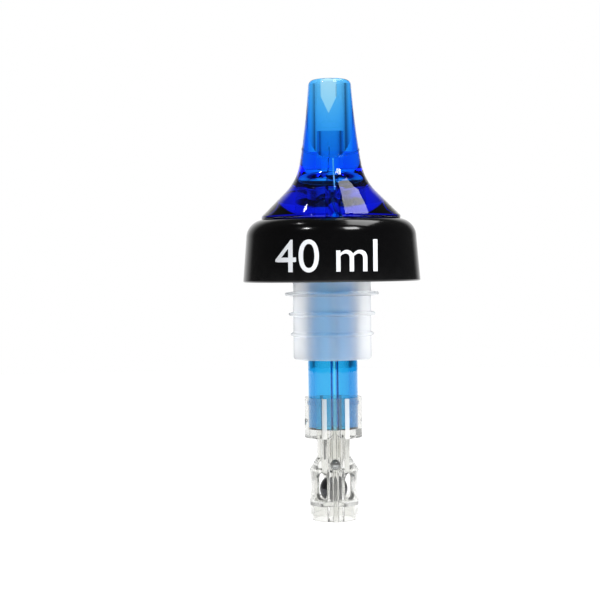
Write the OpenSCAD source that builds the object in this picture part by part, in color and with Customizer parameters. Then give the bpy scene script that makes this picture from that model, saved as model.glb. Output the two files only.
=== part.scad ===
// Measured liquor pourer: a spout with a notched tip on a round collar, a finned stopper that goes into the
// bottle neck, and under it a two-bore metering tube with a snapped-on ball cage. A steel timing ball
// falls from the cage to the spout's seat when the bottle is tipped and cuts the pour off at its dose.
// The origin is the centre of the bottle's mouth, where the stopper's flange rests, and +Z points
// along the spout. -Y is the front, the side of the breather.

/* [Spout] */
// Height of the spout above the collar
spout_h = 31.4; // [30:0.1:36]
// Radius of the spout's foot on the collar
spout_base_r = 15.7; // [14:0.1:17]
// Height of the upright edge round the foot
spout_rim_h = 0.7; // [0.4:0.1:1.2]
// Slope of the foot's flank, from the axis, in degrees
flank_angle = 45; // [40:1:50]
// Radius of the neck at its tip
tip_r = 4.76; // [4.2:0.02:5.4]
// Rounding of the tip's edge
tip_round = 1.3; // [0.4:0.1:1.3]
// Length of the neck, from the tip to where the flare starts
neck_len = 18.8; // [17:0.1:21]
// Radius of the neck where the flare starts
neck_foot_r = 6.95; // [6.4:0.05:7.6]
// How far the neck's side bows in from a straight cone
neck_sag = 0.25; // [0:0.05:0.4]
// Width of the pouring notch in the back of the tip
notch_w = 4; // [3:0.1:5]
// Depth of the pouring notch, from the tip to its point
notch_h = 7.6; // [6:0.1:9]
// Height over which the pouring notch widens from its point
notch_taper_h = 3.8; // [2.5:0.1:5]
// Radius of the pouring bore
pour_bore_r = 3.4; // [3.3:0.05:3.6]
// Length of the pouring bore
pour_bore_len = 16.6; // [15.5:0.1:17.2]
// Radius of the nozzle that stands in the pouring bore
nozzle_r = 3; // [2.7:0.05:3.1]
// Height of the nozzle above the floor of the pouring bore
nozzle_h = 4.7; // [3:0.1:6]
// Radius of the nozzle's bore
nozzle_bore_r = 2.2; // [1.8:0.05:2.4]
// Depth of the nozzle's bore below the floor of the pouring bore
nozzle_root = 1.4; // [0.8:0.1:2]
// Radius of the throat that the timing ball shuts
throat_r = 1.9; // [1.5:0.05:2.4]
// Length of the throat
throat_len = 3.1; // [2.6:0.1:3.4]
// Height of the socket's straight part, below its domed roof
socket_h = 6; // [4.5:0.1:7]
// Height of the socket's domed roof
dome_h = 4.2; // [3:0.1:5]
// Radius of the breather groove under the foot
groove_r = 1.1; // [0.8:0.1:1.6]
// How far the breather's plug goes into the tube
plug_depth = 2.9; // [1.5:0.1:4]

/* [Collar] */
// Height of the collar
collar_h = 14.1; // [12:0.1:18]
// Radius of the collar at its lower edge
collar_r = 20; // [19:0.1:23]
// Radius of the collar where its shoulder starts
collar_top_r = 19.2; // [18.4:0.1:22]
// Rounding of the collar's shoulder
shoulder_r = 4.1; // [2.5:0.1:5]
// Rounding of the collar's lower edge
collar_lip_round = 0.4; // [0.2:0.1:0.7]
// Thickness of the collar's skirt
skirt_t = 1.6; // [1.2:0.1:2.2]
// Thickness of the collar's ceiling
ceiling_t = 1.7; // [1.2:0.1:2.4]

/* [Stopper] */
// Radius of the stopper's body
stopper_r = 8.8; // [8:0.1:9.6]
// Length of the stopper below the bottle's mouth
stopper_len = 28.7; // [26:0.1:34]
// Radius of the flange that rests on the bottle's mouth
flange_r = 14.5; // [12:0.1:16]
// Thickness of that flange
flange_t = 1.2; // [0.8:0.1:2]
// Radius of the top fin
top_fin_r = 10.65; // [10:0.05:11.5]
// Radius of the middle fin
mid_fin_r = 9.8; // [9.7:0.05:10.8]
// Radius of the low fin
low_fin_r = 9.4; // [9.2:0.05:10.4]
// Thickness of a fin at its root
fin_t = 1; // [0.6:0.1:1.6]
// Thickness of a fin at its edge
fin_edge_t = 0.7; // [0.4:0.1:0.9]
// Depth of the top fin below the bottle's mouth
fin_depth = 13.9; // [12.5:0.1:15]
// Distance from fin to fin
fin_pitch = 4.55; // [3.5:0.05:5.5]
// Rounding of the stopper's lower edge
stopper_round = 0.6; // [0.2:0.1:1.2]

/* [Metering tube] */
// Outer radius of the tube
tube_r = 5.6; // [5.5:0.05:6]
// How far the tube's top stands in the socket's domed roof
tube_in_dome = 1.6; // [1:0.1:2.2]
// Length of the tube below the stopper
tube_drop = 15.65; // [13:0.05:20]
// Radius of the bore that the timing ball runs in
run_bore_r = 3.4; // [3.3:0.02:3.5]
// How far that bore lies behind the axis
run_back = 1.3; // [1.2:0.05:1.5]
// Radius of the breather bore
breather_r = 0.8; // [0.5:0.05:1]
// How far the breather lies in front of the axis
breather_front = 3.8; // [3.75:0.05:3.95]
// Depth of the upper breather ball's seat below the bottle's mouth
upper_seat_depth = 2; // [1:0.1:6]
// Radius of the side port that joins the breather to the spout's groove
port_r = 0.6; // [0.4:0.05:0.8]
// Radius of the snap nibs in the cage's side holes
nib_r = 0.6; // [0.4:0.05:0.9]
// How far a nib stands out of the tube
nib_out = 0.6; // [0.3:0.05:0.8]
// How far a nib is above the tube's lower end
nib_above_end = 1.5; // [1.1:0.1:3]
// Height of the bead that centres the cage's mouth
bead_h = 0.7; // [0.5:0.1:1]
// How far the bead stands out of the tube
bead_out = 0.25; // [0.1:0.05:0.3]

/* [Ball cage] */
// Outer radius of the cage's cup
cup_r = 6.5; // [6.4:0.05:7.2]
// How far the tube goes into the cup
cup_depth = 7.1; // [5.5:0.1:9]
// Thickness of the cup's floor
cup_floor_t = 1.95; // [1.5:0.05:2.5]
// Depth of the wider mouth that takes the bead
cup_mouth_h = 1.6; // [1.3:0.1:2.2]
// Height of the neck between cup and cage
cage_neck_h = 4.6; // [3.5:0.1:6]
// Wall round the bores in the neck
cage_wall = 0.45; // [0.4:0.05:0.6]
// Height of the flare under the neck
flare_h = 2.9; // [2:0.1:4]
// Radius of the cage at the foot of its flare
cage_top_r = 5.6; // [5.5:0.05:6]
// How far the cage's side bows in between its flare and its base
cage_waist = 0.33; // [0.1:0.01:0.4]
// Height of the waisted part, with the windows
waist_h = 6.6; // [6:0.1:8]
// Radius of the cage's base
base_r = 5.5; // [5.4:0.05:5.9]
// Height of the cage's base
base_h = 3.3; // [2.5:0.1:4.5]
// Radius of the stepped rim under the base
foot_r = 5; // [4.8:0.05:5.2]
// Height of that rim
foot_h = 1.3; // [0.8:0.1:2]
// Radius of the ball chamber
chamber_r = 4.35; // [4.2:0.05:4.45]
// How far the chamber's floor is below the waisted part
chamber_drop = 0.25; // [0:0.05:0.8]
// Thickness of the chamber's floor
chamber_floor_t = 1.2; // [0.8:0.1:1.8]
// Radius of the inlet under the timing ball
inlet_r = 2.2; // [1.8:0.05:2.6]
// Width of a window
window_w = 2.8; // [2:0.1:3.2]
// Height of a window
window_h = 6.2; // [5:0.1:6.4]
// Angle of a window from the front or the back, in degrees
window_angle = 38; // [36:1:44]
// Thickness of the gussets beside the breather
gusset_t = 1.05; // [0.8:0.05:1.2]
// Distance of a gusset's middle from the centre plane
gusset_x = 2.55; // [2.45:0.05:2.7]
// How far a gusset stands out of the cup
gusset_out = 0.35; // [0.2:0.05:0.5]

/* [Balls and fits] */
// Diameter of the timing ball
timing_ball_d = 6.35; // [6.2:0.05:6.4]
// Diameter of a breather ball
breather_ball_d = 2.38; // [2:0.02:2.4]
// Radius of the breather bore under the lower breather ball
lower_port_r = 0.6; // [0.4:0.05:0.7]
// How far the lower breather ball's seat is above the waisted part
lower_seat_up = 0.4; // [0.2:0.1:2]
// Room between a breather ball and its pocket, all round
ball_room = 0.11; // [0.08:0.01:0.14]
// Push-fit clearance between fixed pieces, on the radius
fit = 0.05; // [0.03:0.01:0.08]
// Room between a snap nib and its hole, all round
nib_room = 0.15; // [0.1:0.05:0.25]
// Gap between a ball and its seat at rest
seat_gap = 0.05; // [0.03:0.01:0.1]

/* [Hidden] */
$fn = 96;
past = 1; // how far a cut runs past the face it opens

spout_blue = [0.05, 0.3, 0.95, 0.8];
clear_plastic = [0.9, 0.93, 0.95, 0.5];

// Levels above the bottle's mouth
collar_top = flange_t + ceiling_t;
collar_bottom = collar_top - collar_h;
spout_top = collar_top + spout_h;
neck_foot = spout_top - neck_len;
bore_floor = spout_top - pour_bore_len;
throat_top = bore_floor - nozzle_root;
seat_level = throat_top - throat_len;
dome_foot = collar_top + socket_h;
tube_top = dome_foot + tube_in_dome;
tube_bottom = -stopper_len - tube_drop;
cup_top = tube_bottom + cup_depth;
cup_bottom = tube_bottom - cup_floor_t;
flare_top = cup_bottom - cage_neck_h;
waist_top = flare_top - flare_h;
base_top = waist_top - waist_h;
base_bottom = base_top - base_h;
cage_bottom = base_bottom - foot_h;

// Balls and what they run in
timing_ball_r = timing_ball_d / 2;
breather_ball_r = breather_ball_d / 2;
pocket_r = breather_ball_r + ball_room;
post_r = pocket_r + cage_wall;
bore_r = tube_r + fit;

// How far a ball's centre is from the edge of a round seat that it rests on
function seat_rise(ball_r, edge_r) = sqrt(ball_r * ball_r - edge_r * edge_r) + seat_gap;

chamber_floor = base_top - chamber_drop;
lower_seat = waist_top + lower_seat_up;
timing_ball_level = chamber_floor + seat_rise(timing_ball_r, inlet_r);
lower_ball_level = lower_seat + seat_rise(breather_ball_r, lower_port_r);
upper_ball_level = -upper_seat_depth + seat_rise(breather_ball_r, breather_r);

// Points of an arc from angle a to angle b round a centre in the (radius, height) plane
function arc(centre, r, a, b, steps = 12) =
    [for (i = [0 : steps]) centre + r * [cos(a + (b - a) * i / steps), sin(a + (b - a) * i / steps)]];

// Slope of the neck at its foot, from the axis, and the flare that joins it to the flank
neck_slope = atan((neck_foot_r - tip_r + 4 * neck_sag) / neck_len);
flank_foot = [spout_base_r, collar_top + spout_rim_h];
flare_reach = ((neck_foot_r - flank_foot.x) + (neck_foot - flank_foot.y) * tan(flank_angle))
            / (cos(neck_slope) * tan(flank_angle) - sin(neck_slope));
flare_r = flare_reach / tan((flank_angle - neck_slope) / 2);
flare_centre = [neck_foot_r, neck_foot] + flare_r * [cos(neck_slope), sin(neck_slope)];

// Outline of the neck, from the tip down to its foot
function neck_side(steps = 10) =
    [for (i = [0 : steps]) let (u = i / steps, low = tip_round / neck_len, v = low + (1 - low) * u)
        [tip_r + (neck_foot_r - tip_r) * v - 4 * neck_sag * v * (1 - v), spout_top - neck_len * v]];

tip_side_r = neck_side()[0].x;

function spout_outline() = concat(
    [[0, collar_top], [spout_base_r, collar_top], flank_foot],
    arc(flare_centre, flare_r, 180 + flank_angle, 180 + neck_slope),
    [for (i = [9 : -1 : 0]) neck_side()[i]],
    arc([tip_side_r - tip_round, spout_top - tip_round], tip_round, 0, 90, 6),
    [[0, spout_top]]);

// Outline of the pouring notch, below and above the tip's level
function notch_outline() = [
    [0, -notch_h], [notch_w / 2, notch_taper_h - notch_h], [notch_w / 2, past],
    [-notch_w / 2, past], [-notch_w / 2, notch_taper_h - notch_h]];

// The tube's outside and its socket's inside: upright, then domed up to an angle of the dome's arc
module tube_form(grow, from, angle, steps = 12) {
    r = tube_r + grow;
    dome = [for (i = [0 : steps]) [r * cos(angle * i / steps),
                                   dome_foot + (dome_h + grow) * sin(angle * i / steps)]];
    rotate_extrude() polygon(concat([[0, from], [r, from]], dome, [[0, dome[steps].y]]));
}

// An upright bore behind the axis, where the timing ball runs
module run_bore(r, from, to)
    translate([0, run_back, from]) cylinder(r = r, h = to - from);

// An upright bore or post in front of the axis, on the breather's line
module breather_line(r, from, to)
    translate([0, -breather_front, from]) cylinder(r = r, h = to - from);

// A round bar lying along X or Y through a point
module bar_x(r, z, from, to)
    translate([from, 0, z]) rotate([0, 90, 0]) cylinder(r = r, h = to - from);

module bar_y(r, z, from, to)
    translate([0, from, z]) rotate([-90, 0, 0]) cylinder(r = r, h = to - from);

module spout() color(spout_blue) {
    difference() {
        rotate_extrude() polygon(spout_outline());
        // Pouring notch through the back of the tip, and the pouring bore round its nozzle
        translate([0, tip_r + past, spout_top]) rotate([90, 0, 0])
            linear_extrude(height = tip_r + past) polygon(notch_outline());
        translate([0, 0, bore_floor]) difference() {
            cylinder(r = pour_bore_r, h = pour_bore_len + past);
            translate([0, 0, -past]) cylinder(r = nozzle_r, h = nozzle_h + past);
        }
        // Nozzle's bore, throat and the top of the ball's run, whose end is the shut-off seat
        translate([0, 0, throat_top]) cylinder(r = nozzle_bore_r, h = nozzle_root + nozzle_h + past);
        run_bore(throat_r, seat_level - past, throat_top);
        run_bore(run_bore_r, dome_foot, seat_level);
        // Socket for the tube, and the breather's way out under the foot
        tube_form(fit, collar_top - past, 90);
        bar_y(groove_r, collar_top, -spout_base_r - past, -tube_r / 2);
    }
    // Plug that closes the top of the breather
    breather_line(pocket_r - fit, tube_top - plug_depth, dome_foot + dome_h);
}

module collar() color([0.03, 0.03, 0.03]) rotate_extrude() difference() {
    polygon(concat(
        [[bore_r, collar_bottom], [bore_r, collar_top]],
        arc([collar_top_r - shoulder_r, collar_top - shoulder_r], shoulder_r, 90, 0, 10),
        arc([collar_r - collar_lip_round, collar_bottom + collar_lip_round], collar_lip_round, 0, -90, 4)));
    polygon([[bore_r - past, collar_bottom - past], [collar_r - skirt_t, collar_bottom - past],
             [collar_r - skirt_t, collar_bottom], [collar_top_r - skirt_t, flange_t],
             [bore_r - past, flange_t]]);
}

// Outline of one fin, widest at its root, from below
function fin_side(r, level) = [
    [stopper_r, level - fin_t / 2], [r, level - fin_edge_t / 2],
    [r, level + fin_edge_t / 2], [stopper_r, level + fin_t / 2]];

module stopper() color([0.85, 0.9, 0.97, 0.8]) rotate_extrude()
    polygon(concat(
        [[bore_r, -stopper_len]],
        arc([stopper_r - stopper_round, -stopper_len + stopper_round], stopper_round, -90, 0, 5),
        fin_side(low_fin_r, -fin_depth - 2 * fin_pitch),
        fin_side(mid_fin_r, -fin_depth - fin_pitch),
        fin_side(top_fin_r, -fin_depth),
        [[stopper_r, 0], [flange_r, 0], [flange_r, flange_t], [bore_r, flange_t]]));

module metering_tube() color(spout_blue) difference() {
    union() {
        tube_form(0, tube_bottom, asin(tube_in_dome / dome_h));
        translate([0, 0, cup_top - cup_mouth_h + fit]) cylinder(r = tube_r + bead_out, h = bead_h);
        bar_x(nib_r, tube_bottom + nib_above_end, -tube_r - nib_out, tube_r + nib_out);
    }
    run_bore(run_bore_r, tube_bottom - past, tube_top + past);
    breather_line(breather_r, tube_bottom - past, 0);
    breather_line(pocket_r, -upper_seat_depth, tube_top + past);
    bar_y(port_r, collar_top + groove_r / 2, -tube_r - past, -breather_front);
}

// One window through the cage's wall, with round ends
module window(angle)
    rotate([0, 0, angle]) translate([0, -pocket_r, (waist_top + base_top) / 2]) rotate([90, 0, 0])
        linear_extrude(height = cup_r) {
            square([window_w, window_h - window_w], center = true);
            for (side = [-1, 1])
                translate([0, side * (window_h - window_w) / 2]) circle(d = window_w);
        }

// Side of the waisted part, from the flare's foot down to the base
function waist_side(steps = 8) =
    [for (i = [0 : steps]) let (u = i / steps)
        [cage_top_r + (base_r - cage_top_r) * u - 4 * cage_waist * u * (1 - u), waist_top - waist_h * u]];

module cage_outside() {
    translate([0, 0, cup_bottom]) cylinder(r = cup_r, h = cup_top - cup_bottom);
    run_bore(run_bore_r + cage_wall, waist_top, cup_bottom);
    breather_line(post_r, waist_top, cup_bottom);
    rotate_extrude()
        polygon(concat([[0, base_bottom], [0, flare_top], [run_bore_r + cage_wall, flare_top]],
                       waist_side(), [[base_r, base_bottom]]));
    translate([0, 0, cage_bottom]) cylinder(r = foot_r, h = foot_h);
    // Gussets that tie the cup to the flare and run up to its rim, beside the breather and behind
    intersection() {
        for (side = [-1, 1])
            translate([side * gusset_x - gusset_t / 2, -cup_r - past, waist_top])
                cube([gusset_t, 2 * (cup_r + past), cup_top - waist_top + past]);
        union() {
            translate([0, 0, waist_top])
                cylinder(r1 = cage_top_r, r2 = cup_r, h = cup_bottom - waist_top);
            translate([0, 0, cup_bottom]) cylinder(r = cup_r + gusset_out, h = cup_top - cup_bottom);
        }
    }
}

// The hollow that the timing ball rests in, behind the breather's post
module chamber(from, to) difference() {
    translate([0, base_r - cage_waist - chamber_r - cage_wall, from]) cylinder(r = chamber_r, h = to - from);
    breather_line(post_r, from - past, to + past);
}

module ball_cage() color(clear_plastic) difference() {
    union() {
        difference() {
            cage_outside();
            chamber(chamber_floor, waist_top);
            chamber(cage_bottom - past, chamber_floor - chamber_floor_t);
            for (half = [0, 180], side = [-1, 1]) window(half + side * window_angle);
        }
        breather_line(post_r, cage_bottom, waist_top);
    }
    run_bore(inlet_r, cage_bottom, chamber_floor + past);
    run_bore(run_bore_r, waist_top - past, cup_top);
    breather_line(lower_port_r, cage_bottom - past, lower_seat + past);
    breather_line(pocket_r, lower_seat, cup_top);
    // Socket for the tube, with a wider mouth for its bead and holes for its nibs
    translate([0, 0, tube_bottom]) cylinder(r = bore_r, h = cup_depth + past);
    translate([0, 0, cup_top - cup_mouth_h]) cylinder(r = bore_r + bead_out, h = cup_mouth_h + past);
    bar_x(nib_r + nib_room, tube_bottom + nib_above_end, -cup_r - past, cup_r + past);
}

module steel_ball(r, y, z) color([0.75, 0.76, 0.78]) translate([0, y, z]) sphere(r = r);

module timing_ball() steel_ball(timing_ball_r, run_back, timing_ball_level);

module lower_breather_ball() steel_ball(breather_ball_r, -breather_front, lower_ball_level);

module upper_breather_ball() steel_ball(breather_ball_r, -breather_front, upper_ball_level);

spout();
collar();
stopper();
metering_tube();
ball_cage();
timing_ball();
lower_breather_ball();
upper_breather_ball();
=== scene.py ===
"""A measured liquor pourer: a transparent blue spout on a gloss black collar, a milky finned stopper,
a blue metering tube and a clear ball cage with steel balls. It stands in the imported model's frame: +Z runs
up the spout, -Y is the front and the origin is on the axis at the bottle's mouth."""

import math

import bpy
from mathutils import Euler, Matrix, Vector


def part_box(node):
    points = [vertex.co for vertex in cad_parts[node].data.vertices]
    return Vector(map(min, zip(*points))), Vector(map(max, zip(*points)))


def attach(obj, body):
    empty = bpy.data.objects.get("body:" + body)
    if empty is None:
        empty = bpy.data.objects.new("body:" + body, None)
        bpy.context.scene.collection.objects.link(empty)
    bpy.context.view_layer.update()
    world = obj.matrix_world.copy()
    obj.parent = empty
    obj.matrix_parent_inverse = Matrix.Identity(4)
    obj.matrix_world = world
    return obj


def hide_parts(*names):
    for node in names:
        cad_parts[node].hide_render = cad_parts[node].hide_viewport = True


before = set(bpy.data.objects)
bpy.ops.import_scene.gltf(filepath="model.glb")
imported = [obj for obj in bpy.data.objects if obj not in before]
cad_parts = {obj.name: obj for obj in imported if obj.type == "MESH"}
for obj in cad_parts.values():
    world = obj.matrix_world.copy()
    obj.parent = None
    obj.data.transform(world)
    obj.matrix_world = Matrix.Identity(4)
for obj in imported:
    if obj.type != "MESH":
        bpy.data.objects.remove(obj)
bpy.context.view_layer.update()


def mm(value):
    return value / 1000


# Levels and radii that the frame gives
spout_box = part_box("spout")
collar_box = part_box("collar")
stopper_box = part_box("stopper")
tube_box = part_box("metering_tube")
cage_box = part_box("ball_cage")
collar_top = spout_box[0][2]
spout_top = spout_box[1][2]
spout_base_r = spout_box[1][0]
collar_bottom = collar_box[0][2]
collar_r = collar_box[1][0]
flange_top = stopper_box[1][2]
flange_r = stopper_box[1][0]
stopper_bottom = stopper_box[0][2]
tube_bottom = tube_box[0][2]
tube_top = tube_box[1][2]
cage_bottom = cage_box[0][2]
cup_top = cage_box[1][2]

# Sizes shared by several pieces
tube_r = mm(5.6)
push_fit = mm(0.05)
bore_r = tube_r + push_fit
run_bore_r = mm(3.4)
run_back = mm(1.3)
breather_front = mm(3.8)
pocket_r = mm(1.3)
groove_r = mm(1.1)
dome_foot = collar_top + mm(6)
dome_h = mm(4.2)

# How far tools reach past a face or into it, and how finely round shapes are divided
past = mm(1)
contact = mm(0.02)
weld = mm(0.0005)
turn_steps = 160
bore_sides = 96
pocket_sides = 64
port_sides = 48
round_steps = 3


# Modelling by hand, one step at a time
def deselect():
    if bpy.context.mode != "OBJECT":
        bpy.ops.object.mode_set(mode="OBJECT")
    bpy.ops.object.select_all(action="DESELECT")


def arc(centre_r, centre_z, radius, start, end, steps=6):
    """Points of an arc in the (radius, height) plane, angles in degrees."""
    points = []
    for i in range(steps + 1):
        angle = math.radians(start + (end - start) * i / steps)
        points.append((centre_r + radius * math.cos(angle), centre_z + radius * math.sin(angle)))
    return points


def trace(points):
    """Draws a line from point to point, edge by edge, in a fresh mesh that stays open for editing."""
    deselect()
    bpy.ops.mesh.primitive_plane_add(size=mm(1))
    piece = bpy.context.object
    bpy.ops.object.mode_set(mode="EDIT")
    bpy.ops.mesh.select_all(action="SELECT")
    bpy.ops.mesh.merge(type="CENTER")
    bpy.ops.transform.translate(value=points[0])
    for here, there in zip(points, points[1:]):
        step = [b - a for a, b in zip(here, there)]
        bpy.ops.mesh.extrude_region_move(TRANSFORM_OT_translate={"value": step})
    bpy.ops.mesh.select_all(action="SELECT")
    return piece


def lathe(name, outline):
    """Draws an outline of (radius, height) points and spins it round the axis."""
    piece = trace([(r, 0, z) for r, z in outline])
    piece.name = name
    bpy.ops.mesh.spin(steps=turn_steps, angle=2 * math.pi, center=(0, 0, 0), axis=(0, 0, 1))
    bpy.ops.mesh.select_all(action="SELECT")
    bpy.ops.mesh.remove_doubles(threshold=weld)
    bpy.ops.mesh.normals_make_consistent(inside=False)
    bpy.ops.object.mode_set(mode="OBJECT")
    return piece


def prism(points, reach):
    """Draws a closed outline of points in space, fills it and draws it out along a vector, as a tool."""
    tool = trace(points + points[:1])
    bpy.ops.mesh.remove_doubles(threshold=weld)
    bpy.ops.mesh.edge_face_add()
    bpy.ops.mesh.extrude_region_move(TRANSFORM_OT_translate={"value": reach})
    bpy.ops.mesh.select_all(action="SELECT")
    bpy.ops.mesh.normals_make_consistent(inside=False)
    bpy.ops.object.mode_set(mode="OBJECT")
    return tool


def rod(radius, start, end, sides=bore_sides):
    """A round bar from one point to another along X, Y or Z, as a tool for cutting or joining."""
    deselect()
    middle = [(a + b) / 2 for a, b in zip(start, end)]
    reach = [b - a for a, b in zip(start, end)]
    length = max(abs(d) for d in reach)
    turn = (0, 0, 0)
    if abs(reach[0]) == length:
        turn = (0, math.pi / 2, 0)
    elif abs(reach[1]) == length:
        turn = (math.pi / 2, 0, 0)
    bpy.ops.mesh.primitive_cylinder_add(vertices=sides, radius=radius, depth=length, location=middle,
                                        rotation=turn)
    return bpy.context.object


def upright(radius, back, low, high, sides=bore_sides):
    """A round bar along Z that stands behind the axis, or before it where back is negative."""
    return rod(radius, (0, back, low), (0, back, high), sides)


def block(low, high):
    """A box between two corners, as a tool."""
    deselect()
    middle = [(a + b) / 2 for a, b in zip(low, high)]
    bpy.ops.mesh.primitive_cube_add(size=1, location=middle, scale=[b - a for a, b in zip(low, high)])
    return bpy.context.object


def pick(piece):
    """Makes a piece the only selected one, and the active one."""
    deselect()
    bpy.context.view_layer.objects.active = piece
    piece.select_set(True)


def carve(piece, tool, operation="DIFFERENCE"):
    """Cuts a tool out of a piece, or joins it, and puts the tool away."""
    pick(piece)
    change = piece.modifiers.new("carve", "BOOLEAN")
    change.operation = operation
    change.solver = "EXACT"
    change.object = tool
    bpy.ops.object.modifier_apply(modifier=change.name)
    bpy.data.objects.remove(tool)
    return piece


def soften(piece, radius, angle=45):
    """Rounds the edges that turn by more than an angle, as a mould does."""
    pick(piece)
    change = piece.modifiers.new("soften", "BEVEL")
    change.limit_method = "ANGLE"
    change.angle_limit = math.radians(angle)
    change.width = radius
    change.segments = round_steps
    bpy.ops.object.modifier_apply(modifier=change.name)
    return piece


def settle(piece, body, slot, *nodes, angle=35):
    """Applies a piece's place, smooths its curved faces and sets it on its body."""
    pick(piece)
    bpy.ops.object.transform_apply(location=True, rotation=True, scale=True)
    bpy.ops.object.mode_set(mode="EDIT")
    bpy.ops.mesh.select_all(action="SELECT")
    bpy.ops.mesh.remove_doubles(threshold=weld)
    bpy.ops.object.mode_set(mode="OBJECT")
    bpy.ops.object.shade_smooth_by_angle(angle=math.radians(angle))
    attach(piece, body)
    if nodes:
        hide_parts(*nodes)


# Materials
ripple_strength = 0.06
ripple_height = mm(0.04)
grain_strength = 0.2


def linear(code):
    """An sRGB hex colour as linear red, green, blue and alpha."""
    values = [int(code[i:i + 2], 16) / 255 for i in (1, 3, 5)]
    return [v / 12.92 if v <= 0.04045 else ((v + 0.055) / 1.055) ** 2.4 for v in values] + [1]


def add(tree, kind, settings=None, **links):
    """Adds a node, sets its properties and sockets, and links its named inputs."""
    made = tree.nodes.new(kind)
    for key, value in (settings or {}).items():
        if key in made.inputs:
            made.inputs[key].default_value = value
        else:
            setattr(made, key, value)
    for key, source in links.items():
        tree.links.new(source, made.inputs[key.replace("_", " ")])
    return made


def fresh_material(name):
    made = bpy.data.materials.new(name)
    made.use_nodes = True
    made.node_tree.nodes.clear()
    return made, made.node_tree


def clear_plastic(name, tint, absorbs, per_metre, ior, rough, ripple_mm):
    """Polished transparent plastic: light bends through it and loses colour with depth, and the skin has
    the faint ripple and haze of a moulding."""
    made, tree = fresh_material(name)
    place = add(tree, "ShaderNodeTexCoord").outputs["Object"]
    haze = add(tree, "ShaderNodeTexNoise", {"Scale": 1 / mm(ripple_mm), "Detail": 3.0}, Vector=place)
    gloss = add(tree, "ShaderNodeMapRange", {"To Min": rough[0], "To Max": rough[1]},
                Value=haze.outputs["Fac"])
    ripple = add(tree, "ShaderNodeBump", {"Strength": ripple_strength, "Distance": ripple_height},
                 Height=haze.outputs["Fac"])
    skin = add(tree, "ShaderNodeBsdfPrincipled",
               {"Base Color": linear(tint), "Transmission Weight": 1.0, "IOR": ior},
               Roughness=gloss.outputs["Result"], Normal=ripple.outputs["Normal"])
    depth = add(tree, "ShaderNodeVolumeAbsorption", {"Color": linear(absorbs), "Density": per_metre})
    add(tree, "ShaderNodeOutputMaterial", Surface=skin.outputs["BSDF"], Volume=depth.outputs["Volume"])
    return made


def finish_material(name, colours, rough, grain_mm, grain_height_mm, settings):
    """A surface whose colour, roughness and skin vary with one grain of a real size."""
    made, tree = fresh_material(name)
    place = add(tree, "ShaderNodeTexCoord").outputs["Object"]
    grain = add(tree, "ShaderNodeTexNoise", {"Scale": 1 / mm(grain_mm), "Detail": 4.0}, Vector=place)
    colour = add(tree, "ShaderNodeMix", {"data_type": "RGBA"}, Factor=grain.outputs["Fac"])
    # The mix's colour sockets share their names with its number sockets, so they go by their place
    colour.inputs[6].default_value = linear(colours[0])
    colour.inputs[7].default_value = linear(colours[1])
    gloss = add(tree, "ShaderNodeMapRange", {"To Min": rough[0], "To Max": rough[1]},
                Value=grain.outputs["Fac"])
    bump = add(tree, "ShaderNodeBump", {"Strength": grain_strength, "Distance": mm(grain_height_mm)},
               Height=grain.outputs["Fac"])
    skin = add(tree, "ShaderNodeBsdfPrincipled", settings, Roughness=gloss.outputs["Result"],
               Normal=bump.outputs["Normal"])
    tree.links.new(colour.outputs[2], skin.inputs["Base Color"])
    add(tree, "ShaderNodeOutputMaterial", Surface=skin.outputs["BSDF"])
    return made


# Blue styrene-acrylonitrile, moulded thick: deep blue where it is solid, paler where a wall is thin
blue_styrene = clear_plastic("blue_styrene_acrylonitrile", tint="#ffffff", absorbs="#00dafd",
                             per_metre=700, ior=1.5, rough=(0.0, 0.02), ripple_mm=4)
# The same plastic in the tube, nearer to sky blue
blue_tube_styrene = clear_plastic("pale_blue_styrene_acrylonitrile", tint="#ffffff", absorbs="#00e3f8",
                                  per_metre=850, ior=1.5, rough=(0.0, 0.03), ripple_mm=4)
# Crystal polystyrene: clear, with bright and grey edges
crystal_styrene = clear_plastic("crystal_polystyrene", tint="#eeeeeb", absorbs="#d8dbdc",
                                per_metre=40, ior=1.38, rough=(0.04, 0.1), ripple_mm=2)
# Acrylonitrile-butadiene-styrene, gloss black: a dark mirror with a hint of orange peel
black_abs = finish_material("gloss_black_abs", colours=("#030304", "#060607"), rough=(0.1, 0.18),
                            grain_mm=1.6, grain_height_mm=0.01, settings={"IOR": 1.5})
# Low-density polyethylene: milky, and shows what is behind it blurred
milky_polyethylene = finish_material("milky_polyethylene", colours=("#f6faff", "#ffffff"),
                                     rough=(0.62, 0.75), grain_mm=2.5, grain_height_mm=0.03,
                                     settings={"IOR": 1.25, "Transmission Weight": 0.9})
# Ball-bearing steel, lapped to a mirror
bearing_steel = finish_material("polished_bearing_steel", colours=("#b9bcc1", "#c9ccd0"),
                                rough=(0.05, 0.1), grain_mm=0.8, grain_height_mm=0.002,
                                settings={"Metallic": 1.0})
# The timing ball's steel: the same ball steel painted darker than the small balls' steel, as painted shade
painted_shade_steel = finish_material("bearing_steel_painted_shade", colours=("#4c4d52", "#5c5d62"), rough=(0.05, 0.1),
                             grain_mm=0.8, grain_height_mm=0.002, settings={"Metallic": 1.0})
# Screen-printing ink: flat white, a little uneven
white_ink = finish_material("white_screen_ink", colours=("#eef2f8", "#f8fafd"), rough=(0.45, 0.6),
                            grain_mm=0.6, grain_height_mm=0.01, settings={"IOR": 1.5})


def dress(piece, material):
    piece.data.materials.clear()
    piece.data.materials.append(material)


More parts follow.
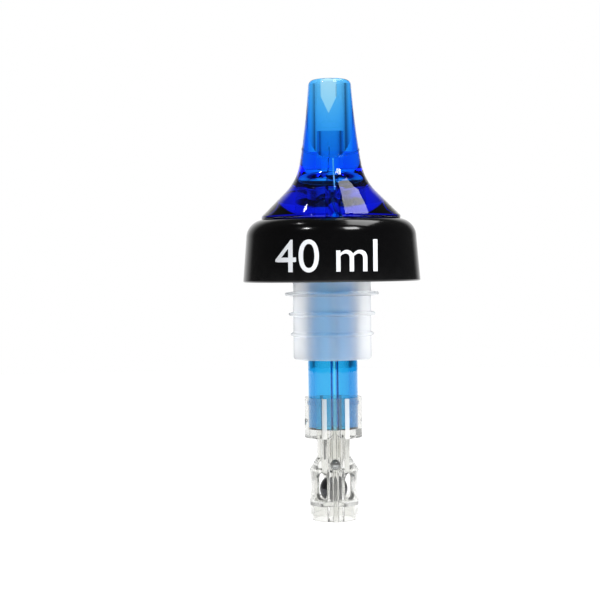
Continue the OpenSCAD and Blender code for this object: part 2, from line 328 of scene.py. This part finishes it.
# Spout
spout_rim_h = mm(0.7)
flank_angle = 45
flare_steps = 20
tip_r = mm(4.76)
tip_round = mm(1.3)
tip_steps = 12
neck_len = mm(18.8)
neck_foot_r = mm(6.95)
neck_sag = mm(0.25)
neck_steps = 24
neck_foot = spout_top - neck_len
notch_w = mm(4)
notch_h = mm(7.6)
notch_taper_h = mm(3.8)
notch_point = mm(0.05)
pour_bore_r = mm(3.4)
bore_floor = spout_top - mm(16.6)
nozzle_r = mm(3)
nozzle_bore_r = mm(2.2)
nozzle_top = bore_floor + mm(4.7)
throat_r = mm(1.9)
throat_top = bore_floor - mm(1.4)
seat_level = throat_top - mm(3.1)
dome_steps = 16
axis_gap = mm(0.01)
plug_depth = mm(2.9)
foot_air = mm(0.05)
spout_foot = collar_top + foot_air
ridge_w = mm(0.3)
ridge_out = mm(0.14)
ridge_round = mm(0.08)
seam_level = mm(18.9)
seam_front = mm(16.8)
seam_tilt = math.radians(17.4)
edge_round = mm(0.12)
edge_angle = 13


def neck_radius(share):
    """Radius of the neck at a share of its length from the tip; its side bows in a little."""
    return tip_r + (neck_foot_r - tip_r) * share - 4 * neck_sag * share * (1 - share)


def spout_outline():
    """The foot's rim, the flank, a flare that meets flank and neck smoothly, the neck and the round tip."""
    neck_slope = math.degrees(math.atan((neck_foot_r - tip_r + 4 * neck_sag) / neck_len))
    lean = math.radians(neck_slope)
    flank = math.tan(math.radians(flank_angle))
    rim_top = collar_top + spout_rim_h
    reach = ((neck_foot_r - spout_base_r + (neck_foot - rim_top) * flank)
             / (math.cos(lean) * flank - math.sin(lean)))
    flare_r = reach / math.tan(math.radians(flank_angle - neck_slope) / 2)
    outline = [(0, spout_foot), (spout_base_r, spout_foot), (spout_base_r, rim_top)]
    outline += arc(neck_foot_r + flare_r * math.cos(lean), neck_foot + flare_r * math.sin(lean), flare_r,
                   180 + flank_angle, 180 + neck_slope, flare_steps)
    first = tip_round / neck_len
    for i in range(neck_steps - 1, -1, -1):
        share = first + (1 - first) * i / neck_steps
        outline.append((neck_radius(share), spout_top - neck_len * share))
    outline += arc(neck_radius(first) - tip_round, spout_top - tip_round, tip_round, 0, 90, tip_steps)
    outline.append((0, spout_top))
    return outline


def parting_ridge(side, low, high):
    """A thin fin on a meridian, a hair proud of the spout, as the two halves of a mould leave it."""
    path = [(r, z) for r, z in spout_outline() if low <= z <= high and r > 0]
    proud = [(-ridge_w / 2, side * (r + ridge_out), z) for r, z in path]
    sunk = [(-ridge_w / 2, side * (r - ridge_out), z) for r, z in reversed(path)]
    return soften(prism(proud + sunk, (ridge_w, 0, 0)), ridge_round)


def seam_ridge():
    """A thin line that dips at the front of the neck, where the mould's tip piece met its two halves."""
    path = [(r, z) for r, z in spout_outline() if seam_front - past < z < seam_level + past and r > 0]
    band = [(r + ridge_out, z) for r, z in path] + [(r - ridge_out, z) for r, z in reversed(path)]
    ridge = lathe("seam_ridge", band + band[:1])
    slab = block((-2 * neck_foot_r, -2 * neck_foot_r, -ridge_w / 2), (2 * neck_foot_r, 0, ridge_w / 2))
    pick(slab)
    bpy.ops.object.transform_apply(location=True, rotation=True, scale=True)
    slab.rotation_euler = (seam_tilt, 0, 0)
    slab.location = (0, 0, seam_level)
    carve(ridge, slab, "INTERSECT")
    return soften(ridge, ridge_round)


def notch():
    """The pouring notch in the back of the tip, wide at the rim and pointed below."""
    half = notch_w / 2
    foot = spout_top - notch_h
    side = foot + notch_taper_h
    top = spout_top + past
    outline = [(notch_point, foot), (half, side), (half, top),
               (-half, top), (-half, side), (-notch_point, foot)]
    return prism([(x, 0, z) for x, z in outline], (0, tip_r + past, 0))


def tube_outline(grow, low, top_angle):
    """The tube's side up into the spout's dome, grown by a clearance."""
    outline = [(0, low), (tube_r + grow, low)]
    for i in range(dome_steps + 1):
        angle = math.radians(top_angle) * i / dome_steps
        outline.append(((tube_r + grow) * math.cos(angle),
                        dome_foot + (dome_h + grow) * math.sin(angle)))
    if outline[-1][0] > axis_gap:
        outline.append((0, outline[-1][1]))
    return outline


def make_spout():
    spout = soften(lathe("spout_body", spout_outline()), edge_round, edge_angle)
    carve(spout, notch())
    carve(spout, lathe("pouring_bore", [
        (0, throat_top), (nozzle_bore_r, throat_top), (nozzle_bore_r, nozzle_top), (nozzle_r, nozzle_top),
        (nozzle_r, bore_floor), (pour_bore_r, bore_floor), (pour_bore_r, spout_top + past),
        (0, spout_top + past)]))
    carve(spout, upright(throat_r, run_back, seat_level - past, throat_top + contact))
    carve(spout, upright(run_bore_r, run_back, dome_foot, seat_level))
    carve(spout, rod(groove_r, (0, -spout_base_r - past, collar_top), (0, -tube_r / 2, collar_top)))
    carve(spout, lathe("socket", tube_outline(-contact, collar_top - past, 90)))
    plug = upright(pocket_r - push_fit, -breather_front, tube_top - plug_depth, dome_foot + dome_h)
    carve(spout, plug, "UNION")
    carve(spout, parting_ridge(1, spout_foot, seam_level), "UNION")
    carve(spout, parting_ridge(-1, collar_top + groove_r, seam_front), "UNION")
    carve(spout, seam_ridge(), "UNION")
    dress(spout, blue_styrene)
    settle(spout, "pourer", "blue_plastic", "spout", angle=25)


# Collar
collar_top_r = mm(19.2)
shoulder_r = mm(4.1)
shoulder_steps = 24
lip_round = mm(0.4)
skirt_t = mm(1.6)


def make_collar():
    inner_r = collar_r - skirt_t
    outline = [(bore_r, flange_top), (bore_r, collar_top)]
    outline += arc(collar_top_r - shoulder_r, collar_top - shoulder_r, shoulder_r, 90, 0, shoulder_steps)
    outline += arc(collar_r - lip_round, collar_bottom + lip_round, lip_round, 0, -90)
    outline += [(inner_r, collar_bottom), (collar_top_r - skirt_t, flange_top), (bore_r, flange_top)]
    collar = lathe("collar_cap", outline)
    dress(collar, black_abs)
    settle(collar, "pourer", "black_plastic", "collar")


# Dose mark on the collar's front: a plain number and unit, cut into strips that bend round the collar
mark_height = mm(7.2)
mark_type_size = mark_height * 1.4
mark_middle = mm(-5.9)
mark_thick = mm(0.05)
mark_turn = math.radians(-8)
strip_w = mm(0.55)
strip_shift = 0.37
strips_each_side = 24


def make_mark():
    deselect()
    bpy.ops.object.text_add(location=(0, -collar_r - past, mark_middle), rotation=(math.pi / 2, 0, 0))
    mark = bpy.context.object
    mark.name = "dose_mark"
    mark.data.body = "40 ml"
    mark.data.align_x = "CENTER"
    mark.data.align_y = "CENTER"
    mark.data.size = mark_type_size
    bpy.ops.object.convert(target="MESH")
    bpy.ops.object.transform_apply(location=True, rotation=True, scale=True)
    bpy.ops.object.mode_set(mode="EDIT")
    for i in range(-strips_each_side, strips_each_side + 1):
        bpy.ops.mesh.select_all(action="SELECT")
        bpy.ops.mesh.bisect(plane_co=(strip_w * (i + strip_shift), 0, 0), plane_no=(1, 0, 0))
    bpy.ops.object.mode_set(mode="OBJECT")
    wrap = mark.modifiers.new("wrap", "SHRINKWRAP")
    wrap.target = bpy.data.objects["collar_cap"]
    wrap.wrap_method = "PROJECT"
    wrap.use_project_y = True
    wrap.use_positive_direction = True
    wrap.offset = mark_thick
    bpy.ops.object.modifier_apply(modifier=wrap.name)
    layer = mark.modifiers.new("layer", "SOLIDIFY")
    layer.thickness = 2 * mark_thick
    bpy.ops.object.modifier_apply(modifier=layer.name)
    mark.rotation_euler = (0, 0, mark_turn)
    dress(mark, white_ink)
    settle(mark, "pourer", "black_plastic")


# Stopper
stopper_r = mm(8.8)
stopper_round = mm(0.6)
fin_radii = (mm(9.4), mm(9.8), mm(10.65))
fin_t = mm(1)
fin_edge_t = mm(0.7)
fin_depth = mm(13.9)
fin_pitch = mm(4.55)


def fin_side(radius, level):
    """One fin from below: it tapers from its root to a rounded edge."""
    edge = fin_edge_t / 2
    side = [(stopper_r, level - fin_t / 2)]
    side += arc(radius - edge, level, edge, -90, 90)
    side.append((stopper_r, level + fin_t / 2))
    return side


def make_stopper():
    outline = [(bore_r, stopper_bottom)]
    outline += arc(stopper_r - stopper_round, stopper_bottom + stopper_round, stopper_round, -90, 0)
    for i, radius in enumerate(fin_radii):
        fins_above = len(fin_radii) - 1 - i
        outline += fin_side(radius, -fin_depth - fins_above * fin_pitch)
    outline += [(stopper_r, 0), (flange_r, 0), (flange_r, flange_top), (bore_r, flange_top)]
    outline.append((bore_r, stopper_bottom))
    stopper = lathe("stopper_plug", outline)
    dress(stopper, milky_polyethylene)
    settle(stopper, "pourer", "milky_plastic", "stopper")


# Metering tube
breather_r = mm(0.8)
upper_seat = -mm(2)
port_r = mm(0.6)
port_level = collar_top + groove_r / 2
nib_r = mm(0.6)
nib_out = mm(0.6)
nib_level = tube_bottom + mm(1.5)
bead_h = mm(0.7)
bead_out = mm(0.25)
cup_mouth_h = mm(1.6)


def make_tube():
    low_bead = cup_top - cup_mouth_h + push_fit
    top_angle = math.degrees(math.asin((tube_top - dome_foot) / dome_h))
    outline = tube_outline(0, tube_bottom, top_angle)
    bead = [(tube_r, low_bead), (tube_r + bead_out, low_bead), (tube_r + bead_out, low_bead + bead_h),
            (tube_r, low_bead + bead_h)]
    tube = lathe("two_bore_tube", outline[:2] + bead + outline[2:])
    nibs = rod(nib_r, (-tube_r - nib_out, 0, nib_level), (tube_r + nib_out, 0, nib_level), port_sides)
    carve(tube, nibs, "UNION")
    carve(tube, upright(run_bore_r, run_back, tube_bottom - past, tube_top + past))
    carve(tube, upright(breather_r, -breather_front, tube_bottom - past, 0, port_sides))
    carve(tube, upright(pocket_r, -breather_front, upper_seat, tube_top + past, pocket_sides))
    carve(tube, rod(port_r, (0, -tube_r - past, port_level), (0, -breather_front, port_level), port_sides))
    dress(tube, blue_tube_styrene)
    settle(tube, "pourer", "blue_tube_plastic", "metering_tube")


# Ball cage
cup_r = mm(6.5)
cup_floor_t = mm(1.95)
cage_neck_h = mm(4.6)
cage_wall = mm(0.45)
cage_flare_h = mm(2.9)
cage_top_r = mm(5.6)
cage_waist = mm(0.33)
waist_h = mm(6.6)
waist_steps = 12
base_r = mm(5.5)
base_h = mm(3.3)
foot_r = mm(5)
chamber_r = mm(4.35)
chamber_drop = mm(0.25)
chamber_floor_t = mm(1.2)
inlet_r = mm(2.2)
lower_port_r = mm(0.6)
lower_seat_up = mm(0.4)
window_w = mm(2.8)
window_h = mm(6.2)
window_angle = 38
window_steps = 24
gusset_t = mm(1.05)
gusset_x = mm(2.55)
gusset_out = mm(0.35)
gusset_round = mm(0.25)
cup_clear = 0.98
foot_clear = 0.9
# Ribs with less transmission show white: a painted highlight on their edges
rib_painted_highlight_clear = 0.4
rib_highlight_edge = mm(0.04)
nib_room = mm(0.15)
cup_bottom = tube_bottom - cup_floor_t
flare_top = cup_bottom - cage_neck_h
waist_top = flare_top - cage_flare_h
base_top = waist_top - waist_h
base_bottom = base_top - base_h
chamber_floor = base_top - chamber_drop
lower_seat = waist_top + lower_seat_up
post_r = pocket_r + cage_wall


def window_tool(angle):
    """A slot with round ends that points out from the axis."""
    half = (window_h - window_w) / 2
    middle = (waist_top + base_top) / 2
    outline = []
    for i in range(2 * window_steps):
        turn = math.pi * (i + 0.5) / window_steps
        end = half if i < window_steps else -half
        across = window_w / 2 * math.cos(turn)
        outline.append((across, -pocket_r, middle + end + window_w / 2 * math.sin(turn)))
    slot = prism(outline, (0, pocket_r - cup_r - past, 0))
    slot.matrix_world = Matrix.Rotation(math.radians(angle), 4, "Z") @ slot.matrix_world
    return slot


def chamber_tool(low, high):
    """The hollow behind the breather's post."""
    back = base_r - cage_waist - chamber_r - cage_wall
    hollow = upright(chamber_r, back, low, high)
    return carve(hollow, upright(post_r, -breather_front, low - past, high + past, pocket_sides))


def paint_rib_highlights(material):
    """The cup is clear, the ribs that stand out from it are painted white by less transmission as a painted
    highlight, and the foot has a thick wall's haze.
    """
    tree = material.node_tree
    place = add(tree, "ShaderNodeTexCoord").outputs["Object"]
    height = add(tree, "ShaderNodeSeparateXYZ", Vector=place).outputs["Z"]
    body = add(tree, "ShaderNodeMapRange", {"From Min": base_top, "From Max": waist_top,
                                            "To Min": foot_clear, "To Max": cup_clear}, Value=height)
    level = add(tree, "ShaderNodeMapping", {"Scale": (1, 1, 0)}, Vector=place)
    radius = add(tree, "ShaderNodeVectorMath", {"operation": "LENGTH"}, Vector=level.outputs["Vector"])
    rib_highlight_mask = add(tree, "ShaderNodeMapRange", {"From Min": cup_r + rib_highlight_edge, "From Max": cup_r + 2 * rib_highlight_edge},
              Value=radius.outputs["Value"])
    clear = add(tree, "ShaderNodeMix", {"B": rib_painted_highlight_clear}, Factor=rib_highlight_mask.outputs["Result"],
                A=body.outputs["Result"])
    skin = tree.nodes["Principled BSDF"]
    tree.links.new(clear.outputs["Result"], skin.inputs["Transmission Weight"])


def make_cage():
    outline = [(0, cage_bottom), (foot_r, cage_bottom), (foot_r, base_bottom), (base_r, base_bottom)]
    for i in range(waist_steps, -1, -1):
        share = i / waist_steps
        outline.append((cage_top_r + (base_r - cage_top_r) * share - 4 * cage_waist * share * (1 - share),
                        waist_top - waist_h * share))
    outline += [(run_bore_r + cage_wall, flare_top), (0, flare_top)]
    cage = lathe("clear_ball_cage", outline)
    cup = lathe("cup", [(0, cup_bottom), (cup_r, cup_bottom), (cup_r, cup_top), (0, cup_top)])
    carve(cage, cup, "UNION")
    carve(cage, upright(run_bore_r + cage_wall, run_back, waist_top, cup_bottom + past), "UNION")
    for side in (-1, 1):
        gusset = block((side * gusset_x - gusset_t / 2, -cup_r - past, waist_top),
                       (side * gusset_x + gusset_t / 2, cup_r + past, cup_top - contact))
        reach = lathe("gusset_reach", [(0, waist_top), (cage_top_r, waist_top), (cup_r, cup_bottom),
                                       (cup_r + gusset_out, cup_bottom), (cup_r + gusset_out, cup_top),
                                       (0, cup_top)])
        carve(cage, soften(carve(gusset, reach, "INTERSECT"), gusset_round), "UNION")
    carve(cage, chamber_tool(chamber_floor, waist_top))
    carve(cage, chamber_tool(cage_bottom - past, chamber_floor - chamber_floor_t))
    for half in (0, 180):
        for side in (-1, 1):
            carve(cage, window_tool(half + side * window_angle))
    post = upright(post_r + contact, -breather_front, cage_bottom + contact, cup_bottom + past,
                   pocket_sides)
    carve(cage, post, "UNION")
    carve(cage, upright(inlet_r, run_back, cage_bottom, chamber_floor + past, pocket_sides))
    carve(cage, upright(run_bore_r, run_back, waist_top - past, cup_top + past))
    carve(cage, upright(lower_port_r, -breather_front, cage_bottom - past, lower_seat + past, port_sides))
    carve(cage, upright(pocket_r, -breather_front, lower_seat, cup_top + past, pocket_sides))
    mouth_r = bore_r + bead_out
    socket = lathe("cup_socket", [(0, tube_bottom), (bore_r, tube_bottom), (bore_r, cup_top - cup_mouth_h),
                                  (mouth_r, cup_top - cup_mouth_h), (mouth_r, cup_top + past),
                                  (0, cup_top + past)])
    carve(cage, socket)
    nib_hole_r = nib_r + nib_room
    carve(cage, rod(nib_hole_r, (-cup_r - past, 0, nib_level), (cup_r + past, 0, nib_level), port_sides))
    # The clear plastic gets its painted rib highlight
    paint_rib_highlights(crystal_styrene)
    dress(cage, crystal_styrene)
    settle(cage, "pourer", "clear_plastic", "ball_cage")


# Balls
ball_cuts = 15


def make_ball(name, node, steel):
    """A ball from a cube, divided and drawn out to a sphere where the frame has it."""
    low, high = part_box(node)
    middle = [(a + b) / 2 for a, b in zip(low, high)]
    width = high[2] - low[2]
    deselect()
    bpy.ops.mesh.primitive_cube_add(size=width / math.sqrt(3), location=middle)
    ball = bpy.context.object
    ball.name = name
    bpy.ops.object.mode_set(mode="EDIT")
    bpy.ops.mesh.select_all(action="SELECT")
    bpy.ops.mesh.subdivide(number_cuts=ball_cuts)
    bpy.ops.transform.tosphere(value=1, center_override=middle)
    bpy.ops.object.mode_set(mode="OBJECT")
    dress(ball, steel)
    ball.dimensions = (width, width, width)
    settle(ball, node, "polished_steel", node, angle=60)


make_spout()
make_collar()
make_mark()
make_stopper()
make_tube()
make_cage()
# The timing ball gets the steel with painted shade
make_ball("timing_ball_steel", "timing_ball", painted_shade_steel)
make_ball("lower_breather_ball_steel", "lower_breather_ball", bearing_steel)
make_ball("upper_breather_ball_steel", "upper_breather_ball", bearing_steel)

# Light: a white surround, softboxes above on the right, small lamps above on the left and a low fill
studio_side_lean = 0.25
studio_span = (-0.2, 0.75)
studio_dim = 0.06
mirrored_span = (0.7, 0.95)
mirrored_dim = 0.06
bent_span = (0.45, 0.95)
bent_dim = 0.25
floor_r = 1.5
floor_sides = 96
floor_level = mm(-130)
floor_glow = "#f7f7f7"
floor_paint = "#b4b4b4"
lamp_aim = (0, 0, mm(-5))
fill_aim = (0, 0, mm(-25))


def fade(tree, span, dim, value):
    """A light that goes from dim to full white while a value crosses a span."""
    made = add(tree, "ShaderNodeMapRange", {"From Min": span[0], "From Max": span[1],
                                            "To Min": dim, "To Max": 1.0}, Value=value)
    return made.outputs["Result"]


def white_surround():
    """A studio that is white behind the object, dimmer at its sides and dark where the camera stands. What
    mirrored and bent rays find of the white is narrower than what lights the object, and the camera finds
    white all round."""
    world = bpy.data.worlds.new("white_surround")
    bpy.context.scene.world = world
    world.use_nodes = True
    tree = world.node_tree
    tree.nodes.clear()
    path = add(tree, "ShaderNodeLightPath")
    ways = add(tree, "ShaderNodeSeparateXYZ", Vector=add(tree, "ShaderNodeTexCoord").outputs["Generated"])
    lean = add(tree, "ShaderNodeMath", {"operation": "MULTIPLY_ADD"})
    tree.links.new(ways.outputs["X"], lean.inputs[0])
    lean.inputs[1].default_value = studio_side_lean
    tree.links.new(ways.outputs["Y"], lean.inputs[2])
    shown = fade(tree, studio_span, studio_dim, lean.outputs[0])
    mirrored = fade(tree, mirrored_span, mirrored_dim, ways.outputs["Y"])
    bent = fade(tree, bent_span, bent_dim, ways.outputs["Y"])
    for view, ray in ((mirrored, "Is Glossy Ray"), (bent, "Is Transmission Ray")):
        shown = add(tree, "ShaderNodeMix", Factor=path.outputs[ray], A=shown, B=view).outputs["Result"]
    level = add(tree, "ShaderNodeMix", {"B": 1.0}, Factor=path.outputs["Is Camera Ray"], A=shown)
    sky = add(tree, "ShaderNodeBackground", {"Color": (1, 1, 1, 1)}, Strength=level.outputs["Result"])
    add(tree, "ShaderNodeOutputWorld", Surface=sky.outputs["Background"])


def pale_floor():
    """A pale table well below the object, so bright in the picture that it shows full white. The low fill
    shines up through it, as on a light table."""
    paint, tree = fresh_material("pale_table_paint")
    path = add(tree, "ShaderNodeLightPath")
    seen = path.outputs["Is Camera Ray"]
    for ray in ("Is Glossy Ray", "Is Transmission Ray"):
        either = add(tree, "ShaderNodeMath", {"operation": "MAXIMUM"})
        tree.links.new(seen, either.inputs[0])
        tree.links.new(path.outputs[ray], either.inputs[1])
        seen = either.outputs[0]
    glow = add(tree, "ShaderNodeEmission", {"Color": linear(floor_glow)}, Strength=seen)
    matt = add(tree, "ShaderNodeBsdfDiffuse", {"Color": linear(floor_paint)})
    both = add(tree, "ShaderNodeAddShader")
    tree.links.new(glow.outputs["Emission"], both.inputs[0])
    tree.links.new(matt.outputs["BSDF"], both.inputs[1])
    add(tree, "ShaderNodeOutputMaterial", Surface=both.outputs["Shader"])
    deselect()
    bpy.ops.mesh.primitive_circle_add(vertices=floor_sides, radius=floor_r, fill_type="NGON",
                                      location=(0, 0, floor_level))
    floor = bpy.context.object
    floor.name = "floor"
    dress(floor, paint)
    floor.visible_shadow = False


def soft_lamp(name, place, width, height, watts, aim=lamp_aim):
    """A rectangular lamp, in metres and watts, that faces a point of the object."""
    deselect()
    bpy.ops.object.light_add(type="AREA", location=place)
    lamp = bpy.context.object
    lamp.name = name
    lamp.data.shape = "RECTANGLE"
    lamp.data.size = width
    lamp.data.size_y = height
    lamp.data.energy = watts
    towards = [b - a for a, b in zip(place, aim)]
    yaw = math.atan2(-towards[0], towards[1])
    pitch = math.atan2(towards[2], math.hypot(towards[0], towards[1]))
    lamp.rotation_euler = (math.pi / 2 + pitch, 0, yaw)


white_surround()
pale_floor()
soft_lamp("right_softbox", (0.25, 0.03, 0.6), width=0.5, height=0.25, watts=1.8)
soft_lamp("right_softbox_front", (0.22, -0.42, 0.45), width=0.18, height=0.14, watts=1.2)
soft_lamp("low_fill", (0.16, -0.42, -0.34), width=0.5, height=0.25, watts=4.5, aim=fill_aim)
soft_lamp("left_lamp_front", (-0.3, -0.3, 0.42), width=0.06, height=0.03, watts=0.4)
soft_lamp("left_lamp", (-0.24, 0.06, 0.55), width=0.025, height=0.02, watts=0.07)

# Camera, where the photograph was taken from
photo_px = 600
focal_px = 1547
sensor_mm = 36
eye_distance = mm(350)
eye_level = mm(-8.05)
eye_azimuth = math.radians(-5)
axis_px = 332
horizon_px = 268
roll = math.radians(-0.7)

bpy.ops.object.camera_add()
eye = bpy.context.object
eye.name = "photo_camera"
eye.data.sensor_width = sensor_mm
eye.data.lens = sensor_mm * focal_px / photo_px
eye.data.clip_start = mm(10)
pitch_down = math.atan((photo_px / 2 - horizon_px) / focal_px)
yaw_left = math.atan((axis_px - photo_px / 2) / focal_px)
upright_turn = Euler((math.pi / 2 - pitch_down, 0, eye_azimuth + yaw_left)).to_matrix()
eye.rotation_euler = (upright_turn @ Matrix.Rotation(roll, 3, "Z")).to_euler()
eye.location = (eye_distance * math.sin(eye_azimuth), -eye_distance * math.cos(eye_azimuth), eye_level)
bpy.context.scene.camera = eye
bpy.context.scene.view_settings.view_transform = "Standard"
